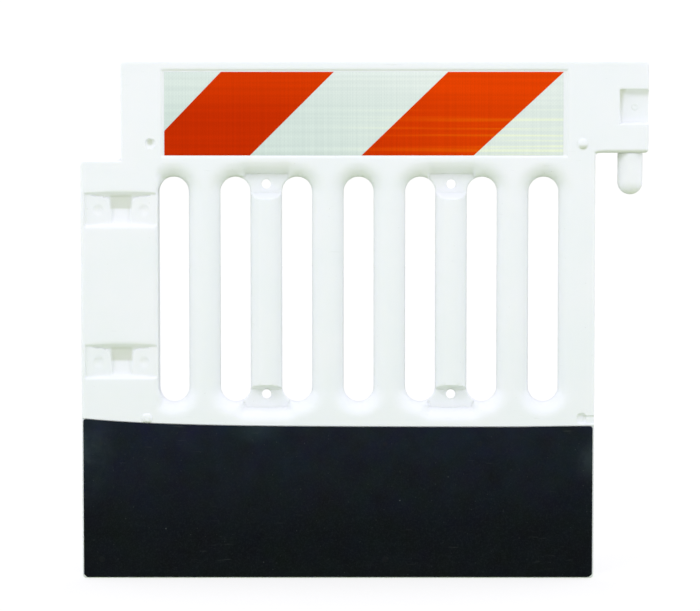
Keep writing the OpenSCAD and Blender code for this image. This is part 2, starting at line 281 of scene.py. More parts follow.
# specks: sparse round dots of uneven strength
tree, gin, gout = newGroup("dustSpecks", dict(Density=60.0, Size=0.12), ("Mask",))
speckGroup = tree
rarest = 0.72  # share of the cells that stay empty
cells = addNode(tree, "TexVoronoi", {"Vector": gin["Place"], "Scale": gin["Density"]})
dot = maths(tree, "LESS_THAN", cells["Distance"], gin["Size"])
lot = addNode(tree, "SeparateColor", {"Color": cells["Color"]})[0]
chosen = remap(tree, lot, rarest, 1.0, kind="LINEAR")
linkAll(tree, gout, dict(Mask=times(tree, dot, chosen)))

# prism film: fine cells and faint upright streaks, level bands of painted reflection, and a corner where
# these are painted as glints
prism = dict(
    cell=0.0032, cellSeam=0.25, streak=(380.0, 1.0, 2.0), level=(1.5, 1.0, 120.0), levelTurn=0.012,
    cornerX=(-0.12, 0.3), cornerZ=(0.945, 0.86),
    paleX=(-0.25, 0.3, 0.0, 0.75), paleZ=(0.89, 0.965, 0.0, 0.45),
    flashFrom=(-0.02, 0.15), flash=(0.8, 0.08), bandFrom=(0.16, -0.16), streakFrom=(0.36, 0.66, 0.0, 0.8),
    seam=0.9, rough=(0.14, 0.26), bump=(0.1, 0.0002))
tree, gin, gout = newGroup("prismFilm", dict(Cell=prism["cell"]), ("Streak", "Band", "Cells", "Corner"))
prismGroup = tree
axes = axesOf(tree, gin["Place"])
streak = noise(tree, stretched(tree, gin["Place"], prism["streak"]), 1.0, 2.0)["Fac"]
along = stretched(tree, gin["Place"], prism["level"], prism["levelTurn"])
band = maths(tree, "SUBTRACT", noise(tree, along, 1.0, 3.0, 0.55)["Fac"], 0.5)
corner = times(tree, *[remap(tree, axes[a], *prism[f"corner{a}"]) for a in "XZ"])
slants = [maths(tree, op, axes["X"], axes["Z"]) for op in ("ADD", "SUBTRACT")]
nearest = maths(tree, "MINIMUM", *[maths(tree, "PINGPONG", s, gin["Cell"]) for s in slants])
seams = remap(tree, maths(tree, "DIVIDE", nearest, gin["Cell"]), 0.0, prism["cellSeam"])
linkAll(tree, gout, dict(Streak=streak, Band=band, Cells=seams, Corner=corner))

plastic = dict(
    speckDensity=75.0, speckSize=0.07, speck=(0.3, 0.3, 0.26, 1), speckMix=0.22,
    # painted shade: an olive tone laid in hollows, and a darker one where cast shade falls
    grime=(0.56, 0.58, 0.45, 1), grimeMix=(0.25, 0.75, 0.05, 0.22),
    dirt=(0.5, 0.54, 0.38, 1), dirtMix=(0.3, 0.7, 0.3, 0.42), scuff=(0.42, 0.44, 0.42, 1), scuffMix=0.16,
    tone=(0.3, 0.7), rough=0.34, scuffRough=0.12, toneRough=0.16, bump=(0.12, 0.0006), specular=0.2,
    depth=0.08, depthRadius=(0.006, 0.006, 0.004))


def whitePlastic(name, light, shade, pebbleSize):
    p = plastic
    mat, tree, shader, place = newMaterial(name)
    skin = useGroup(tree, mouldGroup, Place=place, Pebble=pebbleSize)
    specks = useGroup(tree, speckGroup, Place=place, Density=p["speckDensity"], Size=p["speckSize"])
    cavity = addNode(tree, "Attribute", attribute_name="cavity")["Fac"]
    dirt = addNode(tree, "Attribute", attribute_name="dirt")["Fac"]
    tone = mixColour(tree, remap(tree, skin["Tone"], *p["tone"]), light, shade)
    # painted shade in hollows and where shade is cast, then scuffs and specks
    tone = layered(tree, tone, (
        (cavity, remap(tree, skin["Tone"], *p["grimeMix"]), p["grime"]),
        (dirt, remap(tree, skin["Tone"], *p["dirtMix"]), p["dirt"]),
        (skin["Scuff"], p["scuffMix"], p["scuff"]),
        (specks["Mask"], p["speckMix"], p["speck"])))
    rough = times(tree, skin["Scuff"], p["scuffRough"], p["rough"])
    rough = times(tree, skin["Tone"], p["toneRough"], rough)
    dress(tree, shader, tone, rough, skin["Height"], p["bump"], p["specular"])
    for label, value in (("Weight", p["depth"]), ("Radius", p["depthRadius"]), ("Scale", 1.0)):
        shader.inputs[f"Subsurface {label}"].default_value = value
    return mat


def prismFilm(name, light, dull, shade, glint, gloss):
    p = prism
    mat, tree, shader, place = newMaterial(name)
    film = useGroup(tree, prismGroup, Place=place)
    axes = axesOf(tree, place)
    pale = [remap(tree, axes[a], *p[f"pale{a}"]) for a in "XZ"]  # painted light: paler towards the upper right
    tone = mixColour(tree, maths(tree, "ADD", *pale, clamp=True), dull, light)
    # painted glints in the bands, strongest towards the lower right
    flash = times(tree, remap(tree, film["Band"], *p["flashFrom"]), *p["flash"])
    tone = layered(tree, tone, [(flash, film["Corner"], glint)])
    # painted reflection bands darken the tone, as do the film's own streaks and cell seams
    seams = times(tree, film["Cells"], -p["seam"], p["seam"])
    bands = remap(tree, film["Band"], *p["bandFrom"])
    streaks = remap(tree, film["Streak"], *p["streakFrom"])
    for mask in (bands, streaks, seams):
        tone = mixColour(tree, mask, tone, shade, "MULTIPLY")
    rough = times(tree, film["Streak"], *p["rough"])
    dress(tree, shader, tone, rough, film["Cells"], p["bump"], gloss)
    return mat


sheet = dict(
    blue=(0.09, 0.29), specks=((130.0, 0.12), (42.0, 0.05)), pebble=520.0, ripple=9.0,
    grain=420.0, grainFrom=(0.44, 0.74, 0.0, 0.5),
    blotch=19.0, mottle=0.9, cloudy=(0.36, 0.64, 0.45, 1.4), pale=(0.09, 0.15, 0.14, 1),
    haze=((-0.207, 0.292, 0.07, 0.036, 0.16),  # x, z, width, height and strength of each painted highlight
          (-0.552, 0.252, 0.085, 0.13, 0.12),
          (0.446, 0.235, 0.06, 0.06, 0.11)),
    scuff=(0.05, 0.056, 0.058, 1), scuffMix=0.35, fine=(0.12, 0.14, 0.14, 1), fineMix=0.22,
    coarse=(0.2, 0.22, 0.22, 1), coarseMix=0.5, toneRough=0.3, bump=(0.25, 0.0008), specular=0.16)


def blackSheet(name, foot, head, dust, roughness):
    s = sheet
    mat, tree, shader, place = newMaterial(name)
    skin = useGroup(tree, mouldGroup, Place=place, Pebble=s["pebble"], Ripple=s["ripple"])
    fine, coarse = (useGroup(tree, speckGroup, Place=place, Density=d, Size=r) for d, r in s["specks"])
    grain = noise(tree, place, s["grain"], 3.0, 0.7)
    blotch = noise(tree, place, s["blotch"], 4.0, 0.6)
    rise = remap(tree, axesOf(tree, place)["Z"], *s["blue"], kind="LINEAR")  # painted light: bluer and lighter towards the top
    tone = mixColour(tree, rise, foot, head)
    tone = mixColour(tree, s["mottle"], tone, blotch["Color"], "OVERLAY")  # faint mottling in each colour
    tone = mixColour(tree, remap(tree, grain["Fac"], *s["grainFrom"]), tone, dust)
    # painted highlights: soft lighter spots, patchy with the blotch noise
    cloudy = remap(tree, blotch["Fac"], *s["cloudy"])
    for x, z, wide, tall, strength in s["haze"]:
        spot = {"Vector": place, "Location": (x, 0, z), "Scale": (wide, 10, tall)}
        spot = addNode(tree, "Mapping", spot, vector_type="TEXTURE")[0]
        away = addNode(tree, "VectorMath", {0: spot}, operation="LENGTH")["Value"]
        tone = layered(tree, tone, [(remap(tree, away, 1.0, 0.0, 0.0, strength), cloudy, s["pale"])])
    tone = layered(tree, tone, (
        (skin["Scuff"], s["scuffMix"], s["scuff"]),
        (fine["Mask"], s["fineMix"], s["fine"]),
        (coarse["Mask"], s["coarseMix"], s["coarse"])))
    rough = times(tree, skin["Tone"], s["toneRough"], roughness)
    dress(tree, shader, tone, rough, skin["Height"], s["bump"], s["specular"])
    return mat


whiteBody = whitePlastic("whiteBody", (0.866, 0.872, 0.912, 1), (0.838, 0.862, 0.896, 1), 900.0)
whitePin = whitePlastic("whitePin", (0.856, 0.864, 0.902, 1), (0.832, 0.852, 0.886, 1), 1400.0)
whiteNylon = whitePlastic("whiteNylon", (0.85, 0.868, 0.89, 1), (0.82, 0.848, 0.866, 1), 2200.0)
silverFilm = prismFilm(
    "silverFilm", light=(0.8, 0.852, 0.825, 1), dull=(0.678, 0.768, 0.732, 1),
    shade=(0.93, 0.94, 0.945, 1), glint=(0.85, 0.9, 0.69, 1), gloss=0.3)
orangeFilm = prismFilm(
    "orangeFilm", light=(0.785, 0.0535, 0.0003, 1), dull=(0.58, 0.0275, 0.0003, 1),
    shade=(0.92, 0.9, 1.0, 1), glint=(0.76, 0.105, 0.0004, 1), gloss=0.005)
kickBlack = blackSheet(
    "kickBlack", foot=(0.0019, 0.0044, 0.0066, 1), head=(0.0053, 0.01, 0.0205, 1),
    dust=(0.014, 0.02, 0.0235, 1), roughness=0.42)
rivetBlack = blackSheet(
    "rivetBlack", foot=(0.005, 0.007, 0.0085, 1), head=(0.0085, 0.0125, 0.0195, 1),
    dust=(0.015, 0.019, 0.021, 1), roughness=0.36)
print("materials made")

# the moulded halves
kickLow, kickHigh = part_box("front_kick_plate")
filmLow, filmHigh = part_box("front_sheeting")
pinLow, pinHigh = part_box("interlock_pin")
socketX = mounts["interlock_socket"]["pos_m"][0]
pinX = mounts["interlock_pin"]["pos_m"][0]
slotX = np.array([openings[f"slot_{i}"][:, 0].mean() for i in range(1, 8)])
halfT = -kickLow.y
body = dict(
    left=cadLow.x, right=cadHigh.x, top=cadHigh.z,
    railLeft=-0.468, bodyRight=0.444, ledge=0.808, blockLow=0.823, cornerR=0.007, innerR=0.011,
    edgeR=0.0046, columnEdgeR=0.007, underEdgeR=0.008, socketEdgeR=0.003,
    fade=0.02, columnFade=0.03, underReach=0.03, socketReach=0.042, socketFade=0.012,
    leastLand=0.0004, seam=0.0006, seamDepth=0.0008, seamFrom=0.004, sharp=38)


def outlineInside(x, z):  # the largest of three boxes' distances, with the two inner corners filled
    b, r = body, body["cornerR"]
    d = most(boxInside(x, z, b["left"], b["bodyRight"], 0, b["ledge"], r),
             boxInside(x, z, b["railLeft"], b["right"], b["blockLow"], b["top"], r),
             boxInside(x, z, b["railLeft"], b["bodyRight"], 0, b["top"], r))
    r = b["innerR"]
    for cx, cz, sx, sz in ((b["railLeft"], b["ledge"], -1, 1), (b["bodyRight"], b["blockLow"], 1, -1)):
        dx, dz = (x - cx) * sx, (z - cz) * sz
        near = (dx > 0) & (dz > 0) & (dx < r) & (dz < r)
        d = np.where(near, most(d, np.hypot(dx - r, dz - r) - r), d)
    return d


# a quarter round, larger on the column and under the block, smaller at the socket
def outerEdge(x, z):
    b = body
    column = ease((b["railLeft"] - x) / b["columnFade"]) * ease((b["ledge"] - z) / b["fade"])
    under = ease((b["blockLow"] + b["underReach"] - z) / b["fade"])
    under = under * ease((x - b["bodyRight"]) / b["fade"])
    atSocket = ease((b["socketReach"] - np.abs(x - socketX)) / b["socketFade"])
    atSocket = atSocket * ease((z - b["ledge"] + b["fade"]) / (b["fade"] / 2))
    r = b["edgeR"] + (b["columnEdgeR"] - b["edgeR"]) * column + (b["underEdgeR"] - b["edgeR"]) * under
    r = r + (b["socketEdgeR"] - r) * atSocket
    return halfT - r + quarterRound(outlineInside(x, z), r)


slots = dict(r=0.029, low=0.342, high=0.777, columnR=0.009, columnFrom=0.55)


def slotLevel(z):  # the nearest height on a slot's middle line
    return np.clip(z, slots["low"] + slots["r"], slots["high"] - slots["r"])


def slotOutside(x, z, centres=slotX):
    return np.min([np.hypot(x - c, z - slotLevel(z)) for c in centres], axis=0) - slots["r"]


# a quarter round of half the thickness, tighter where the first slot borders the column
def slotEdge(x, z):
    beside = slotX[0] - x
    toLeft = beside / most(np.hypot(beside, z - slotLevel(z)), hair)
    tight = ease((toLeft - slots["columnFrom"]) / (1 - slots["columnFrom"]))
    r = halfT - (halfT - slots["columnR"]) * tight
    return halfT - r + quarterRound(slotOutside(x, z), r)


pads = dict(
    bars=(1, 4), web=0.003, far=0.4, cornerR=0.003, blend=0.012, noseBlend=0.0015, seam=0.001, most=1.5,
    top=(0.006, 0.0417, 0.0285, 0.0135, 0.0),  # rise past the slot ends, half width, then
    foot=(0.012, 0.0428, 0.0205, 0.0115, 3.0),  # the nose's reach, run and bow
    boltR=0.009, boltInset=0.014, boltRound=0.0015)
padEnds = ((slots["high"], 1, pads["top"]), (slots["low"], -1, pads["foot"]))
boltXs = [(slotX[i] + slotX[i + 1]) / 2 for i in pads["bars"]]
boltZs = [slots["low"] + pads["boltInset"], slots["high"] - pads["boltInset"]]


def boltOutside(x, z):
    return np.min([np.hypot(x - cx, z - cz) for cx in boltXs for cz in boltZs], axis=0) - pads["boltR"]


def inside(x, z):
    return least(outlineInside(x, z), slotOutside(x, z), boltOutside(x, z))


# a pad is a thin web. The slots beside it and its own box share one rounded wall, and a straight nose
# rises from the web to the bar
def pinched(h, x, z):
    p = pads
    web = quarterRound(slotOutside(x, z), p["web"])
    for i in p["bars"]:
        across = x - (slotX[i] + slotX[i + 1]) / 2
        beside = slotOutside(x, z, slotX[i:i + 2])
        for end, sign, (rise, half, reach, run, bow) in padEnds:
            out = (z - end) * sign
            past = -boxInside(across, out, -half, half, -p["far"], rise, p["cornerR"])
            past = softMin(beside, past, p["blend"])
            wall = quarterRound(past, halfT) + most(past - halfT, 0)
            nose = most(-reach - bow * across ** 2 - out, 0) * (halfT - p["web"]) / run
            pad = most(wall, softMax(web, nose, p["noseBlend"]))
            h = np.where(pad < p["most"] * halfT, softMin(h, pad + p["seam"] / 4, p["seam"]), h)
    bolt = boltOutside(x, z)
    rim = p["web"] - p["boltRound"] + quarterRound(bolt, p["boltRound"])
    return np.where(bolt < p["boltRound"], least(h, rim), h)


seat = dict(
    filmD=0.0025, filmWall=0.005, filmGap=0.005, filmGapLow=0.0022, filmCornerR=0.002,
    kickD=0.004, kickGap=0.001, kickWall=0.0008, kickSlack=0.0002,
    drop=0.0033, leftLift=0.0165, leftFade=0.17, rightLift=0.0018, rightFrom=0.82)


def filmSunk(x, z):  # the film's shallow recess, a box with soft walls
    gap = seat["filmGap"]
    low = filmLow.z - seat["filmGapLow"]
    d = boxInside(x, z, filmLow.x - gap, filmHigh.x + gap, low, filmHigh.z + gap, seat["filmCornerR"])
    return seat["filmD"] * ease(d / seat["filmWall"])


# the black sheet's upper edge: nearly level, with a lift at the left end and a smaller one at the right
def kickTop(x):
    t = (x - body["left"]) / (body["bodyRight"] - body["left"])
    lift = seat["leftLift"] * np.exp(-t / seat["leftFade"])
    lift = lift + seat["rightLift"] * ease((t - seat["rightFrom"]) / (1 - seat["rightFrom"]))
    return kickHigh.z - seat["drop"] + lift


pocket = dict(
    x=-0.4685, half=0.066, edge=0.0705, feet=(0.388, 0.681), tall=0.068, arch=0.0024, spare=0.002,
    valley=0.0068, valleyRise=0.0034, riseFrom=0.034, riseRun=0.032,
    channelHalf=0.0195, channelD=0.0155, channelDrop=0.0335, channelSlope=1.7, leanIn=0.22, leanOut=0.2,
    flareFrom=0.0077, flare=((0.028, 0.0025), (0.009, 0.011)), roofBreak=0.0115, roofSteep=2.5,
    footSlope=1.1, leftSlope=4, rightSlope=2, blend=0.002, channelBlend=0.001, roofBlend=0.0008,
    wallBlend=0.0012, lipBlend=0.0015,
    kissX=0.044, kissUp=0.47, kissR=0.0098, kissD=0.0022, kissRound=0.8)


# a pocket is the least of its floor, its arched roof's slope and its other walls. The floor is a valley
# with a deep channel, which widens like a trumpet just under the roof, leans in and comes out again slowly
def pocketSunk(x, z, foot):
    p = pocket
    dx = np.abs(x - p["x"])
    under = foot + p["tall"] - p["arch"] * (dx / p["half"]) ** 2 - z
    flare = sum(w * np.exp(-most(under - p["flareFrom"], 0) / fall) for w, fall in p["flare"])
    valley = p["valley"] - p["valleyRise"] * ease((dx - p["riseFrom"]) / p["riseRun"])
    past = under - p["channelDrop"]
    deep = p["channelD"] - most(-past, 0) * p["leanIn"] - most(past, 0) * p["leanOut"]
    channel = softMax((p["channelHalf"] + flare - dx) * p["channelSlope"], 0.0, p["channelBlend"])
    floor = valley + softMin(channel, most(deep - valley, 0), p["blend"])
    roof = under + most(under - p["roofBreak"], 0) * p["roofSteep"]
    ends = (p["edge"] - dx) * np.where(x < p["x"], p["leftSlope"], p["rightSlope"])
    walls = softMin((z - foot) * p["footSlope"], ends, p["blend"])
    sunk = softMin(softMin(floor, roof, p["roofBlend"]), walls, p["wallBlend"])
    level = z - foot - p["tall"] * p["kissUp"]
    kiss = least(*[np.hypot(x - p["x"] - k, level) for k in (-p["kissX"], p["kissX"])])
    sunk = sunk + p["kissD"] * np.clip(1 - (kiss / p["kissR"]) ** 2, 0, 1) ** p["kissRound"]
    return most(sunk, -p["spare"])


recess = dict(
    x=0.489, low=0.877, high=0.946, depth=0.012, spare=0.002, roofSlope=1.15,
    wallSlope=1.1, wallTurn=2.2, footSlope=2.6, round=0.002, rounder=1.3, roundest=0.02,
    floorBlend=0.003, lipBlend=0.001)


# the least of a roof slope, a wall that grows steeper downwards and a foot slope, down to a flat floor;
# the corner of roof and wall is rounder the deeper it gets
def recessSunk(x, z):
    r = recess
    fall = (r["high"] - z) / (r["high"] - r["low"])
    down = (r["high"] - z) * r["roofSlope"]
    across = (x - r["x"]) * (r["wallSlope"] + r["wallTurn"] * fall)
    blend = r["round"] + r["rounder"] * np.clip(least(down, across), 0, r["roundest"])
    sunk = softMin(softMin(down, across, blend), (z - r["low"]) * r["footSlope"], r["round"])
    return np.clip(softMin(sunk, r["depth"], r["floorBlend"]), -r["spare"], r["depth"])


studs = dict(
    r=0.01, height=0.003, depth=0.0042, flatness=2.6,
    places=((-0.4195, 0.311, 1), (0.4195, 0.8405, 1), (-0.4115, 0.8405, -1), (0.4195, 0.311, -1)),
    slitX=0.4195, slitLow=0.3, slitHigh=0.3165, slitD=0.0024, slitWall=0.0014)


# flattened balls, raised where the sign is the face's own and sunk where it isn't, and on the front a
# shallow slit that leads out of the lower right dimple to the edge
def studRise(x, z, side):
    s, rise = studs, 0
    for cx, cz, sign in s["places"]:
        ball = np.sqrt(np.clip(1 - (np.hypot(x - cx, z - cz) / s["r"]) ** s["flatness"], 0, 1))
        rise = rise + (s["height"] if sign * side > 0 else -s["depth"]) * ball
    slit = least(x - s["slitX"], s["slitHigh"] - z, z - s["slitLow"])
    return rise - s["slitD"] * ease(slit / s["slitWall"]) * (side > 0)


# height of a face above the mid-plane: the lowest of the quarter-round slot edges, the pinched pads and
# the rounded outline, less what is sunk into it, plus its studs, and cut back behind the black sheet
def faceHeight(x, z, side):
    h = least(pinched(slotEdge(x, z), x, z), outerEdge(x, z)) - filmSunk(x, z)
    for foot in pocket["feet"]:
        h = softMin(h, halfT - pocketSunk(x, z, foot), pocket["lipBlend"])
    h = softMin(h, halfT - recessSunk(x, z), recess["lipBlend"]) + studRise(x, z, side)
    behind = ease((kickTop(x) + seat["kickGap"] + seat["kickWall"] - z) / seat["kickWall"])
    h = np.where(behind > 0, least(h, halfT - (seat["kickD"] + seat["kickSlack"]) * behind), h)
    return most(h, body["leastLand"])


socket = dict(r=0.0244, mouthR=0.0254, low=0.739, bevel=0.0016, steps=16)
grid = dict(
    step=0.0042, coarse=0.02, skinTop=0.285, bendLow=0.2, bendHigh=0.334, onLine=3e-7, slack=1e-5,
    boltClear=0.012, boltReach=0.006, boltPower=1.7, clear=0.45, merge=2e-6, capParts=40)


def spacedLines(low, high, step, marks):  # even lines, left out where they come close to the marked ones
    marks = marks[(marks >= low) & (marks <= high)]
    marks = np.unique(np.round(np.append(marks, [low, high]), 7))
    even = np.linspace(low, high, int(round((high - low) / step)) + 1)
    clear = np.abs(even[:, None] - marks[None]).min(1) > grid["clear"] * step
    return np.sort(np.concatenate([even[clear], marks]))


def fan(centres, *offsets):  # every offset from every centre
    return np.add.outer(np.atleast_1d(centres), np.concatenate(offsets)).ravel()


def skinLines():  # grid lines across and up the face, crowded where it bends
    b, p, r, gap = body, pocket, recess, seat["filmGap"]
    arc = 1 - np.cos(arcSteps(6))
    wall = np.arange(6) * 0.001
    steep = halfT * (1 - np.cos(np.radians([0, 8, 16, 24, 32, 42, 52])))
    ball = [-1, -0.94, -0.84, -0.68, -0.46, -0.2, 0.05, 0.3, 0.54, 0.74, 0.88, 0.96, 1.02]
    ball = studs["r"] * np.array(ball)
    rim = pads["boltR"] + pads["boltRound"]
    hole = np.append(pads["boltR"] * np.cos(arcSteps(9, 180)), [-rim, rim])
    flank = np.append(np.arange(0.0172, 0.0565, 0.0022), np.arange(0.06, 0.0701, 0.002))
    roof = np.append(np.arange(0, 0.026, 0.0019), [0.0285, 0.03, 0.0315, 0.033])
    nose = np.array([0, 0.2, 0.4, 0.6, 0.8, 1, 1.15])
    studX, studZ = ([s[k] for s in studs["places"]] for k in (0, 1))
    xs = [socketX + socket["mouthR"] * np.cos(arcSteps(socket["steps"] + 1, 180)),
          fan(b["left"], b["columnEdgeR"] * arc), fan(b["railLeft"], b["edgeR"] * arc),
          fan([b["bodyRight"], b["right"]], -b["edgeR"] * arc), fan(slotX, [-slots["r"], slots["r"]]),
          fan(filmLow.x - gap, wall), fan(filmHigh.x + gap, -wall), fan(p["x"], -flank, flank),
          fan(r["x"], [0, 0.0015, 0.003, 0.005]), fan(studX, ball), fan(boltXs, hole)]
    zs = [fan(boltZs, hole), fan(studZ, ball), fan([b["ledge"], b["top"]], -b["edgeR"] * arc),
          fan(b["blockLow"], b["underEdgeR"] * arc),
          fan(filmLow.z - seat["filmGapLow"], wall), fan(filmHigh.z + gap, -wall),
          fan(p["feet"], np.arange(5) * 0.002, p["tall"] - roof),
          fan(r["low"], [0, 0.0015, 0.003, 0.0047]), fan(r["high"], [0, -0.002, -0.004, -0.006]),
          fan(studs["slitHigh"], [-0.0021, -0.0014, -0.0007, 0]),
          fan(kickHigh.z, [-0.004, -0.002, -0.0005, 0.004]),
          fan(kickHigh.z + seat["kickGap"], [0, seat["kickWall"]])]
    for end, sign, (rise, half, reach, run, _) in padEnds:
        zs.append(fan(end, sign * (rise + steep), -sign * (reach + run * nose)))
        xs.append(fan(boltXs, -half - steep[:4], half + steep[:4]))
    low = spacedLines(0, grid["skinTop"], grid["coarse"], b["edgeR"] * arc)
    fine = spacedLines(grid["skinTop"], b["top"], grid["step"], np.concatenate(zs))
    return spacedLines(b["left"], b["right"], grid["step"], np.concatenate(xs)), np.append(low[:-1], fine)


def drawIn(x, z, f, near, shift):  # points moved along the slope of f
    gx, gz = slopeOf(f, x[near], z[near])
    x[near] += shift * gx
    z[near] += shift * gz


def faceGrid():
    g = grid
    xl, zl = skinLines()
    cols, rows = len(xl), len(zl)
    x, z = (v.ravel() for v in np.meshgrid(xl, zl))
    above = ease((g["bendHigh"] - z) / (g["bendHigh"] - kickHigh.z))
    below = ease((z - g["bendLow"]) / (kickHigh.z - g["bendLow"]))
    # the lines around the black sheet's upper edge follow its curve
    z = z + (kickTop(x) - kickHigh.z) * np.where(z > kickHigh.z, above, below)
    d = inside(x, z)
    d[np.abs(d) < g["onLine"]] = 0
    onEdge = d == 0
    index = np.arange(rows * cols).reshape(rows, cols)
    for p, q in ((index[:, :-1], index[:, 1:]), (index[:-1], index[1:])):
        p, q = p.ravel(), q.ravel()
        cut = d[p] * d[q] < 0
        onEdge[np.where(np.abs(d[p]) < np.abs(d[q]), p, q)[cut]] = True
    for _ in range(3):  # the nearer end of each cut edge is pulled to the outline
        drawIn(x, z, inside, onEdge, -inside(x[onEdge], z[onEdge]))
    outside = (d < 0) & ~onEdge
    # near a slot the points are drawn in so that they lie evenly along the quarter round
    s = slotOutside(x, z)
    near = (s > hair / 10) & (s < halfT) & ~outside & (outlineInside(x, z) > hair)
    shift = halfT * (1 - np.cos(np.pi / 2 * s[near] / halfT)) - s[near]
    shift *= np.clip(boltOutside(x[near], z[near]) / g["boltClear"], 0, 1)  # but not around the bolt holes
    drawIn(x, z, slotOutside, near, shift)
    s = boltOutside(x, z)
    near = (s > hair / 10) & (s < g["boltReach"]) & ~outside & (slotOutside(x, z) > hair)
    drawIn(x, z, boltOutside, near, g["boltReach"] * (s[near] / g["boltReach"]) ** g["boltPower"] - s[near])
    # cells inside the outline, and the triangles left where one corner is cut off
    quads = gridFaces(rows, cols)
    lost = outside[quads].sum(1)
    whole, part = quads[lost == 0], quads[lost == 1]
    whole = whole[inside(x[whole].mean(1), z[whole].mean(1)) > 0]
    gone = outside[part].argmax(1)
    tris = np.stack([part[np.arange(len(part)), (gone + k) % 4] for k in (1, 2, 3)], 1)
    tris = tris[inside(x[tris].mean(1), z[tris].mean(1)) > g["slack"]]
    return x, z, whole, tris


def openEdges(whole, tris, count):  # edges whose reverse is in no face
    a = np.concatenate([f[:, [k, (k + 1) % f.shape[1]]] for f in (whole, tris) for k in range(f.shape[1])])
    a = a.astype(np.int64)
    return a[~np.isin(a[:, 1] * count + a[:, 0], a[:, 0] * count + a[:, 1])]


# triangles between the rim's points. One is inside where a line to the right of its middle crosses the rim
# an odd number of times, so slots and holes stay open
def closeMidPlane(bm):
    rimEdges = [e for e in bm.edges if e.is_boundary]
    rimVerts = list({v: None for e in rimEdges for v in e.verts})
    number = {v: i for i, v in enumerate(rimVerts)}
    flatPoints = [Vector((v.co.x, v.co.z)) for v in rimVerts]
    pairs = np.array([[number[v] for v in e.verts] for e in rimEdges])
    points, _, tri, source = delaunay_2d_cdt(flatPoints, pairs.tolist(), [], 0, 1e-8)[:4]
    tri = np.array(tri)
    mid = np.array([tuple(p) for p in points])[tri].mean(1)
    spot = np.array([tuple(p) for p in flatPoints])
    (x0, z0), (x1, z1) = spot[pairs[:, 0]].T, spot[pairs[:, 1]].T
    kept = []
    for part in np.array_split(np.arange(len(tri)), grid["capParts"]):
        mx, mz = mid[part, 0, None], mid[part, 1, None]
        spans = (z0 > mz) != (z1 > mz)
        crossing = x0 + (mz - z0) * (x1 - x0) / np.where(z1 == z0, 1, z1 - z0)
        kept.append(tri[part][(spans & (crossing > mx)).sum(1) % 2 == 1])
    kept = np.concatenate(kept)
    for corners in kept:
        bm.faces.new([rimVerts[source[i][0]] for i in corners])
    return len(kept)


# where painted shade goes: in hollows, and as cast shade under roofs, studs and the block, on the recess
# wall and over the film
shadePaint = dict(
    ring=0.004, cavityFull=0.003, onFace=0.0005, edgeClear=0.003, midClear=0.003, highFrom=0.5,
    channel=1.1, channelRoof=(0.004, 0.011), channelFoot=(0.0355, 0.0315), channelSide=(0.0235, 0.0175),
    stud=1.4, lowStud=0.2, studMid=(0.05, -0.35), studWide=1.1, studRim=(1.1, 0.6), studUnder=(-0.1, -0.6),
    dimple=1.5, dimpleMid=0.25, dimpleRim=(0.72, 0.32),  # places on studs and dimples in their own radii
    block=0.9, blockRise=(0.0075, 0.0035), blockDrop=0.001, blockIn=0.003,
    recess=1.7, recessWall=(0.014, 0.009), recessLean=0.011, recessIn=0.001, recessTop=0.02,
    film=0.25, filmUp=0.003, filmLine=(0.0035, 0.0015), filmEnd=0.01)


def hollowShadeMask(x, y, z, side):  # painted shade in hollows: how far a point lies under the mean of eight places around it
    turn = np.linspace(0, 2 * np.pi, 8, endpoint=False)
    ring = [(shadePaint["ring"] * np.cos(t), shadePaint["ring"] * np.sin(t)) for t in turn]
    around = np.mean([faceHeight(x + u, z + v, side) for u, v in ring], 0)
    own = faceHeight(x, z, side)
    onFace = (np.abs(y) > own - shadePaint["onFace"]) & (outlineInside(x, z) > shadePaint["edgeClear"])
    return np.clip((around - own) / shadePaint["cavityFull"], 0, 1) * onFace


def castShadeMask(x, y, z, side):  # the most of the painted shade under the pocket roofs, the studs and the block, in the high dimples, on the recess wall and over the film
    b, p, r, w = body, pocket, recess, shadePaint
    layers = []
    for foot in p["feet"]:  # the deep channels under the pocket roofs
        under = foot + p["tall"] - z
        lain = between(under, *w["channelRoof"]) * between(under, *w["channelFoot"])
        layers.append(w["channel"] * lain * between(np.abs(x - p["x"]), *w["channelSide"]))
    for cx, cz, sign in studs["places"]:
        u, v = (x - cx) / studs["r"], (z - cz) / studs["r"]
        if sign * side > 0:  # under a raised stud
            away = np.hypot((u - w["studMid"][0]) * w["studWide"], v - w["studMid"][1])
            lain = between(away, *w["studRim"]) * between(v, *w["studUnder"])
            layers.append(w["stud" if cz > w["highFrom"] else "lowStud"] * lain)
        elif cz > w["highFrom"]:  # in the upper part of a high dimple
            layers.append(w["dimple"] * between(np.hypot(u, v - w["dimpleMid"]), *w["dimpleRim"]))
    up = z - b["blockLow"]  # along the block's lower edge
    lain = between(up, *w["blockRise"]) * (up > -w["blockDrop"])
    layers.append(w["block"] * lain * (x > b["bodyRight"] + w["blockIn"]))
    fall = (r["high"] - z) / (r["high"] - r["low"])  # on the recess's wall, less towards its foot
    past = x - r["x"]
    lain = between(past + w["recessLean"] * fall, *w["recessWall"]) * between(past, 0, w["recessIn"])
    layers.append(w["recess"] * lain * np.clip(1 - fall, 0, 1) * (fall > w["recessTop"]))
    lain = between(np.abs(z - filmHigh.z - w["filmUp"]), *w["filmLine"])  # in a line over the film
    lain = lain * between(least(x - filmLow.x, filmHigh.x - x), 0, w["filmEnd"])
    layers.append(w["film"] * lain)
    return np.max(layers, 0) * (np.abs(y) > w["midClear"])


gridX, gridZ, wholeCells, cutCells = faceGrid()


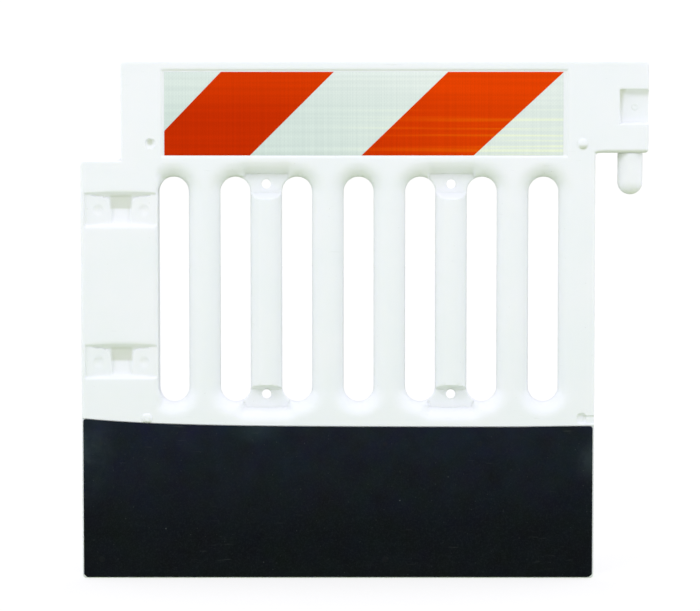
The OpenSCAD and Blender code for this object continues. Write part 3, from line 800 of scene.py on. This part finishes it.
def mouldedHalf(name, node, side):  # side 1 is the front, -1 the back
    b, k, x, z = body, socket, gridX, gridZ
    count = len(x)
    used = np.unique(np.append(wholeCells, cutCells))
    h = np.zeros(count)
    h[used] = faceHeight(x[used], z[used], side)
    # rim walls down to the mid-plane, with a fine seam groove; around the socket they stop at its mouth
    rim = openEdges(wholeCells, cutCells, count)
    ends, at = np.unique(rim, return_inverse=True)
    p, q = at.reshape(rim.shape).T
    n, rimX, rimZ, rimH = len(ends), x[ends], z[ends], h[ends]
    dx = rimX - socketX
    atMouth = (np.abs(rimZ - b["ledge"]) < grid["slack"]) & (np.abs(dx) < k["mouthR"] + hair)
    mouthY = np.sqrt(most(k["mouthR"] ** 2 - dx ** 2, 0))
    mouthY[np.abs(dx) > k["mouthR"] - grid["slack"]] = 0
    lipY = np.where(atMouth, (rimH + mouthY) / 2, least(rimH * 0.5, b["seamDepth"]))
    lowY = np.where(atMouth, mouthY, 0)
    inset = np.where((rimH > b["seamFrom"]) & ~atMouth, b["seam"], 0)
    gx, gz = slopeOf(inside, rimX, rimZ)
    walls = np.concatenate([
        np.stack([rim[:, 1], rim[:, 0], count + p, count + q], 1),
        np.stack([count + q, count + p, count + n + p, count + n + q], 1)])
    # half of the socket: a cup turned about its axis, from the mouth's bevel to the round bottom
    turn = np.sort(np.arctan2(mouthY[atMouth], dx[atMouth]))
    cup = [(k["mouthR"], b["ledge"]), (k["r"], b["ledge"] - k["bevel"])]
    cup += [(k["r"] * np.cos(t), k["low"] + k["r"] * (1 - np.sin(t))) for t in arcSteps(9)]
    r, level = np.array(cup).T[:, :, None]
    cupX, cupY, cupZ = np.broadcast_arrays(socketX + r * np.cos(turn), -side * r * np.sin(turn), level)
    verts = np.concatenate([
        np.stack([x, -side * h, z], 1),
        np.stack([rimX, -side * lipY, rimZ], 1),
        np.stack([rimX + gx * inset, -side * lowY, rimZ + gz * inset], 1),
        np.stack([cupX, cupY, cupZ], -1).reshape(-1, 3)])
    cupFaces = gridFaces(len(cup), len(turn)) + count + 2 * n
    allFaces = (wholeCells, cutCells, walls, cupFaces)
    keep = np.unique(np.concatenate([f.ravel() for f in allFaces]))
    order = np.full(len(verts), -1)
    order[keep] = np.arange(len(keep))
    mesh = bpy.data.meshes.new(name)
    mesh.from_pydata(verts[keep].tolist(), [], [face for f in allFaces for face in order[f].tolist()])
    bm = bmesh.new()
    bm.from_mesh(mesh)
    bmesh.ops.remove_doubles(bm, verts=bm.verts, dist=grid["merge"])
    capFaces = closeMidPlane(bm)
    bmesh.ops.recalc_face_normals(bm, faces=bm.faces)
    faults = sum(1 for e in bm.edges if not e.is_manifold)
    bm.to_mesh(mesh)
    bm.free()
    place = pointsOf(mesh)
    paintPoints(mesh, "cavity", hollowShadeMask(*place, side))
    paintPoints(mesh, "dirt", castShadeMask(*place, side))
    placePiece(name, mesh, node, whiteBody, b["sharp"])
    print(name, len(mesh.polygons), "faces,", capFaces, "in the cap,", faults, "open or shared edges")


mouldedHalf("frontHalf", "front_shell", 1)
mouldedHalf("backHalf", "back_shell", -1)


# hinge pin and rivets: a profile of radius and height turned about an axis
def turned(profile, steps):
    t = np.linspace(0, 2 * np.pi, steps, endpoint=False)
    r, h = np.array(profile).T
    x, y = np.outer(r, np.cos(t)), np.outer(r, np.sin(t))
    verts = np.stack([x, y, np.broadcast_to(h[:, None], x.shape)], -1).reshape(-1, 3)
    return verts, gridFaces(len(profile), steps, True)


pin = dict(
    r=0.024, shankR=0.019, tongueR=0.0135, shoulder=body["blockLow"], shankTop=0.872, fillet=0.0015,
    chamfer=0.0004, uneven=0.0002, steps=72,
    # painted shadow under the block and painted shade along the pin's left edge
    dirt=0.9, dirtDrop=(-0.019, -0.011), dirtSlant=0.8, edgeDirt=0.35, edgeWide=(0.005, 0.001))


def pinProfile():  # round nose, slightly uneven straight part, fillet under the shoulder, shank and tongue
    p, r, top = pin, pin["r"], pin["shoulder"]
    noseTop = pinLow.z + r
    nose = [(r * math.sin(t), noseTop - r * math.cos(t)) for t in arcSteps(16)]
    straight = [(r + p["uneven"] * math.sin(3 * k), noseTop + (top - noseTop) * k / 6) for k in range(1, 6)]
    fillet = [(r, top - p["fillet"]), (r - p["chamfer"], top - p["chamfer"]), (r - p["fillet"], top)]
    shank = [(p["shankR"], top), (p["shankR"], p["shankTop"])]
    tongue = [(p["tongueR"], p["shankTop"]), (p["tongueR"], pinHigh.z), (0, pinHigh.z)]
    return nose + straight + fillet + shank + tongue


verts, faces = turned(pinProfile(), pin["steps"])
verts[:, 0] += pinX
hingePin = meshPiece("hingePin", verts, faces, "interlock_pin", whitePin)
x, _, z = pointsOf(hingePin.data)
fromLeft = x - pinX + pin["r"]
# painted shadow of the block on the pin's upper left, and painted shade along its left edge
dirt = pin["dirt"] * between(z - pin["shoulder"] - pin["dirtSlant"] * fromLeft, *pin["dirtDrop"])
dirt += pin["edgeDirt"] * between(fromLeft, *pin["edgeWide"])
paintPoints(hingePin.data, "dirt", dirt)

rivet = dict(
    headR=0.0072, tubeR=0.0039, boreR=0.00235, boreEnd=0.004, boreTip=0.005, rise=0.0007,
    dish=0.0005, dishR=0.0038, seat=halfT - recess["depth"], sink=0.0003, steps=48)


def rivetProfile():  # a dished head, a tube, and a tail rolled round the mouth of its bore
    v, seatY, rise = rivet, rivet["seat"], rivet["rise"]
    rim, lipR = v["headR"] - v["dishR"], (v["headR"] - v["boreR"]) / 2
    dish = [(v["dishR"] * k, seatY + rise - v["dish"] * (1 - k * k)) for k in (0, 0.25, 0.5, 0.75, 0.9)]
    out = (0.1, 0.35, 0.6, 0.8, 0.92, 1)
    head = [(v["dishR"] + rim * k, seatY + rise * math.sqrt(1 - k ** 4)) for k in out]
    tube = [(v["tubeR"], seatY - v["sink"]), (v["tubeR"], -seatY + v["sink"])]
    tail = [(v["boreR"] + lipR * (1 + math.cos(t)), -seatY - rise * math.sin(t)) for t in arcSteps(9, 180)]
    return dish + head + tube + tail + [(v["boreR"], v["boreEnd"]), (0, v["boreTip"])]


rivetLow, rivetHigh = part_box("pin_rivet")
centre = (rivetLow + rivetHigh) / 2
verts, faces = turned(rivetProfile(), rivet["steps"])
verts = np.stack([verts[:, 0] + centre.x, -verts[:, 2], verts[:, 1] + centre.z], 1)
meshPiece("pinRivet", verts, faces, "pin_rivet", whiteNylon, 50)
print("pin and rivet turned")

laid = dict(
    ends=(0, 0.0004, 0.001, 0.0018, 0.0028, 0.004, 0.0054, 0.007),
    firstCol=0.0095, firstRow=0.002, settle=0.01, sharp=30)


# films and sheets: the outer face has a rounded edge and wobbles inwards, the inner one is flat, and a band
# of quads joins the two
def layeredSheet(name, node, material, edges, depths, count, side, edge, wobble):
    leftAt, rightAt, lowAt, highAt = edges
    outer, inner = depths
    cols, rows = count
    ends, col, row = np.array(laid["ends"]), laid["firstCol"], laid["firstRow"]
    u = np.concatenate([ends, np.linspace(col, 1 - col, cols), 1 - ends[::-1]])
    v = np.concatenate([[0], np.linspace(0, 1, rows - 1) * (1 - 2 * row) + row, [1]])
    uu, vv = np.meshgrid(u, v)
    guess = leftAt(vv) + (rightAt(vv) - leftAt(vv)) * uu
    low, high = lowAt(guess), highAt(guess)
    z = low + (high - low) * vv
    level = (z - low.min()) / (high.max() - low.min())
    left, right = leftAt(level), rightAt(level)
    x = left + (right - left) * uu
    rim = least(x - left, right - x, z - low, high - z)
    y = outer - edge + quarterRound(most(rim, 0), edge) - wobble(x, z) * ease(rim / laid["settle"])
    front = np.stack([x, -side * y, z], -1).reshape(-1, 3)
    rear = np.stack([x, np.full_like(x, -side * inner), z], -1).reshape(-1, 3)
    n = len(front)
    faces = gridFaces(len(v), len(u))
    index = np.arange(n).reshape(len(v), len(u))
    loop = np.concatenate([index[0], index[1:, -1], index[-1, -2::-1], index[-2:0:-1, 0]])
    after = np.roll(loop, -1)
    faces = np.concatenate([faces, faces[:, ::-1] + n, np.stack([after, loop, loop + n, after + n], 1)])
    meshPiece(name, np.concatenate([front, rear]), faces, node, material, laid["sharp"])


def flat(value):
    return lambda t: np.full_like(np.asarray(t, float), value)


def depthsOf(low, high):  # the outer and the inner face's distance from the mid-plane
    return sorted((abs(low.y), abs(high.y)), reverse=True)


film = dict(
    wave=0.00012, waves=((0.25, 41, 0, 1.3), (0.25, 17, -33, 0)), edge=0.0001, lap=0.0001,
    count=(60, 16), stripeCount=(30, 40),
    trim=(0.0032, 0.0056), trimLow=0.002, trimHigh=0.001,  # trim at the left and the right
    stripeW=0.152, start=0.110, pitch=0.438,
    askew=(((0.0021, 0.0108), (0.0037, 0.0056)),  # shift of each stripe's left and right edge, at its
           ((0.0, -0.003), (0.0073, -0.0025))))  # top and bottom
stripeRun = film["stripeW"] * math.sqrt(2)


def filmWobble(x, z):  # slow ripples where the film didn't lie quite flat
    return film["wave"] * ripples(x, z, film["waves"])


# a stripe's edge runs at 45 degrees from its start on the film's upper edge and ends at the film's sides.
# The back film is the front one turned half round, so its stripes lean the same way seen from behind
def stripeEdge(start, askew, side):
    def edgeAt(v):
        x = start - (filmHigh.z - filmLow.z) * (1 - v) + askew[0] * v + askew[1] * (1 - v)
        return side * np.clip(x, filmLow.x + film["trim"][0], filmHigh.x - film["trim"][1])
    return edgeAt


def filmLevels(low, high):  # the lower and the upper edge of a film or stripe
    return flat(low.z + film["trimLow"]), flat(high.z - film["trimHigh"])


bothFaces = ((1, "front"), (-1, "back"))
for side, face in bothFaces:
    node = f"{face}_sheeting"
    low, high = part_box(node)
    trimL, trimR = film["trim"][::side]
    edges = (flat(low.x + trimL), flat(high.x - trimR), *filmLevels(low, high))
    layeredSheet(f"{face}Film", node, silverFilm, edges, depthsOf(low, high),
                 film["count"], side, film["edge"], filmWobble)
    for i, which in enumerate(("left", "right")):
        node = f"{face}_stripe_{which}"
        low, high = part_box(node)
        outer, inner = depthsOf(low, high)
        start = filmLow.x + film["start"] + i * film["pitch"]
        slants = [stripeEdge(start + k * stripeRun, film["askew"][i][k], side) for k in (0, 1)][::side]
        edges = (*slants, *filmLevels(low, high))
        layeredSheet(f"{face}Stripe{which.title()}", node, orangeFilm, edges,
                     (outer, inner - film["lap"]), film["stripeCount"], side, film["edge"], filmWobble)

kick = dict(
    cornerR=0.005, bevel=0.0065, bevelRise=0.9, edge=0.0016, count=(220, 64),
    wave=0.0006, waves=((0.2, 9, 0, 0.6), (0.15, 23, 14, 0), (0.15, -6, 31, 0)), endWave=1.2, endFade=0.08)


def fromEnd(x):  # distance to the nearer end of the black sheet
    return least(x - kickLow.x, kickHigh.x - x)


def kickFoot(x):  # the lower corners are cut off
    return kickLow.z + np.clip(kick["bevel"] - fromEnd(x), 0, kick["bevel"]) * kick["bevelRise"]


def kickHead(x):  # the upper corners are rounded
    return kickTop(x) - (kick["cornerR"] - quarterRound(fromEnd(x), kick["cornerR"]))


def kickWobble(x, z):  # a sheet that isn't quite flat, more so at its left end
    slow = kick["wave"] * ripples(x, z, kick["waves"])
    return slow * (1 + kick["endWave"] * np.exp(-(x - kickLow.x) / kick["endFade"]))


heads = dict(
    cols=6, inset=0.035, headR=0.006, dome=0.0003, sink=0.0006, neck=0.0024, shankR=0.003, shankL=0.007,
    tailR=0.005, tailL=0.006, taper=0.9, swell=0.0002, steps=28)


def headProfile():  # a low dome, a shank, and a tail that tapers inside the shell
    k, tail = heads, -heads["shankL"] - heads["swell"]
    dome = [(k["headR"] * math.sin(t), k["dome"] * math.cos(t)) for t in arcSteps(7)]
    shank = [(k["shankR"], -k["neck"]), (k["shankR"], -k["shankL"])]
    end = (k["tailR"] * k["taper"], -k["shankL"] - k["tailL"])
    return dome + shank + [(k["tailR"], tail), end, (0, tail - k["tailL"])]


for side, face in bothFaces:
    node = f"{face}_kick_plate"
    low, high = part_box(node)
    edges = (flat(low.x), flat(high.x), kickFoot, kickHead)
    layeredSheet(f"{face}KickSheet", node, kickBlack, edges, (halfT, halfT - seat["kickD"]),
                 kick["count"], side, kick["edge"], kickWobble)

one, oneFaces = turned(headProfile(), heads["steps"])
for side, face in bothFaces:
    across = np.linspace(kickLow.x + heads["inset"], kickHigh.x - heads["inset"], heads["cols"])
    places = [(cx, cz) for cx in across for cz in (kickLow.z + heads["inset"], kickHigh.z - heads["inset"])]
    y = -side * (halfT - heads["sink"] + one[:, 2])
    verts = np.concatenate([np.stack([cx + one[:, 0], y, cz + one[:, 1]], 1) for cx, cz in places])
    quads = np.concatenate([oneFaces + len(one) * i for i in range(len(places))])
    meshPiece(f"{face}KickRivets", verts, quads, f"{face}_kick_rivets", rivetBlack, 50)
print("films, sheets and rivets laid")

# stage, light and camera
studio = dict(
    floorSize=14.0, floorDrop=0.0004, floorGlow=0.74, floorPale=(0.24, 0.24, 0.24, 1),
    bounceNear=(0.51, 0.62, 0.37, 1), bounceFar=(0.72, 0.78, 0.58, 1), bounceRun=(0.2, 2.2),
    mirrorLow=(0.02, 0.024, 0.028, 1), mirrorRise=(0.1, 0.7), white=(1, 1, 1, 1), whiteStrength=1.03,
    skyTop=(0.86, 0.86, 0.91, 1), skyEdge=(1.055, 1.05, 1.19, 1), skyRise=(-0.02, 0.6),
    skyStrength=1.17, sideGain=0.62,
    keyPower=110.0, keySize=1.1, keyPlace=(-3.2, -6.8, 8.2), keyAim=(0, 0, 0.6), keyTone=(1.0, 0.995, 0.98))


def showCamera(tree, path, others, seen, output):  # one shader for the camera, another for all other rays
    shader = addNode(tree, "MixShader", {0: path["Is Camera Ray"], 1: others, 2: seen})[0]
    tree.links.new(shader, tree.nodes.new(output).inputs[0])


half, drop = studio["floorSize"], -studio["floorDrop"]
floorMesh = bpy.data.meshes.new("floor")
corners = [(-half, -half, drop), (half, -half, drop), (half, half, drop), (-half, half, drop)]
floorMesh.from_pydata(corners, [], [(0, 1, 2, 3)])
floor = addObject("floor", floorMesh)
floor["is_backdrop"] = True
floorMat = bpy.data.materials.new("paleFloor")
floorMesh.materials.append(floorMat)
tree = emptyTree(floorMat)
path = addNode(tree, "LightPath")
glow = addNode(tree, "Emission", {"Color": studio["white"], "Strength": studio["floorGlow"]})[0]
pale = addNode(tree, "BsdfDiffuse", {"Color": studio["floorPale"]})[0]
place = addNode(tree, "TexCoord")["Object"]
away = addNode(tree, "VectorMath", {0: place}, operation="LENGTH")["Value"]
darker = remap(tree, away, *studio["bounceRun"])  # the floor throws less light back under the panel
tone = mixColour(tree, darker, studio["bounceNear"], studio["bounceFar"])
tone = mixColour(tree, path["Is Glossy Ray"], tone, studio["mirrorLow"])
bounce = addNode(tree, "Emission", {"Color": tone, "Strength": 1.0})[0]
seen = addNode(tree, "AddShader", {0: glow, 1: pale})[0]
showCamera(tree, path, bounce, seen, "ShaderNodeOutputMaterial")

world = bpy.data.worlds.new("studioSky")
bpy.context.scene.world = world
tree = emptyTree(world)
axes = axesOf(tree, addNode(tree, "TexCoord")["Generated"])
path = addNode(tree, "LightPath")
tone = mixColour(tree, remap(tree, axes["Z"], *studio["skyRise"]), studio["skyEdge"], studio["skyTop"])
mirrorRise = remap(tree, axes["Z"], *studio["mirrorRise"])  # a dim room in front of the glossy faces
mirror = mixColour(tree, mirrorRise, studio["mirrorLow"], studio["skyTop"])
tone = mixColour(tree, path["Is Glossy Ray"], tone, mirror)
sideways = times(tree, axes["X"], axes["X"])  # brighter walls at both sides
gain = studio["sideGain"] * studio["skyStrength"]
strength = times(tree, sideways, gain, studio["skyStrength"])
sky = addNode(tree, "Background", {"Color": tone, "Strength": strength})[0]
white = {"Color": studio["white"], "Strength": studio["whiteStrength"]}
showCamera(tree, path, sky, addNode(tree, "Background", white)[0], "ShaderNodeOutputWorld")

lamp = bpy.data.lights.new("keyLamp", "AREA")
lamp.energy = studio["keyPower"]
lamp.size = studio["keySize"]
lamp.color = studio["keyTone"]
lampObj = addObject("keyLamp", lamp)
lampObj.location = studio["keyPlace"]
lampObj.rotation_euler = (Vector(studio["keyAim"]) - lampObj.location).to_track_quat("-Z", "Y").to_euler()

# the photograph is 700 px wide and 611 high, and one of its pixels is 1.926 mm at the front face
shot = dict(
    pixel=0.001926, width=700, sensor=36.0, centre=(-0.0277, -halfT, 0.5294), distance=5.2, rise=0.3)
camera = bpy.data.cameras.new("camera")
camera.sensor_width = shot["sensor"]
camera.lens = shot["distance"] / (shot["pixel"] * shot["width"]) * shot["sensor"]
cameraObj = addObject("camera", camera)
target = Vector(shot["centre"])
flatRun = math.sqrt(shot["distance"] ** 2 - shot["rise"] ** 2)
cameraObj.location = target + Vector((0, -flatRun, shot["rise"]))
cameraObj.rotation_euler = (target - cameraObj.location).to_track_quat("-Z", "Y").to_euler()
bpy.context.scene.camera = cameraObj
bpy.context.scene.view_settings.view_transform = "Standard"
print("stage, lights and camera set")

low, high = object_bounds()
print("size", [round(v, 4) for v in (*low, *high)])
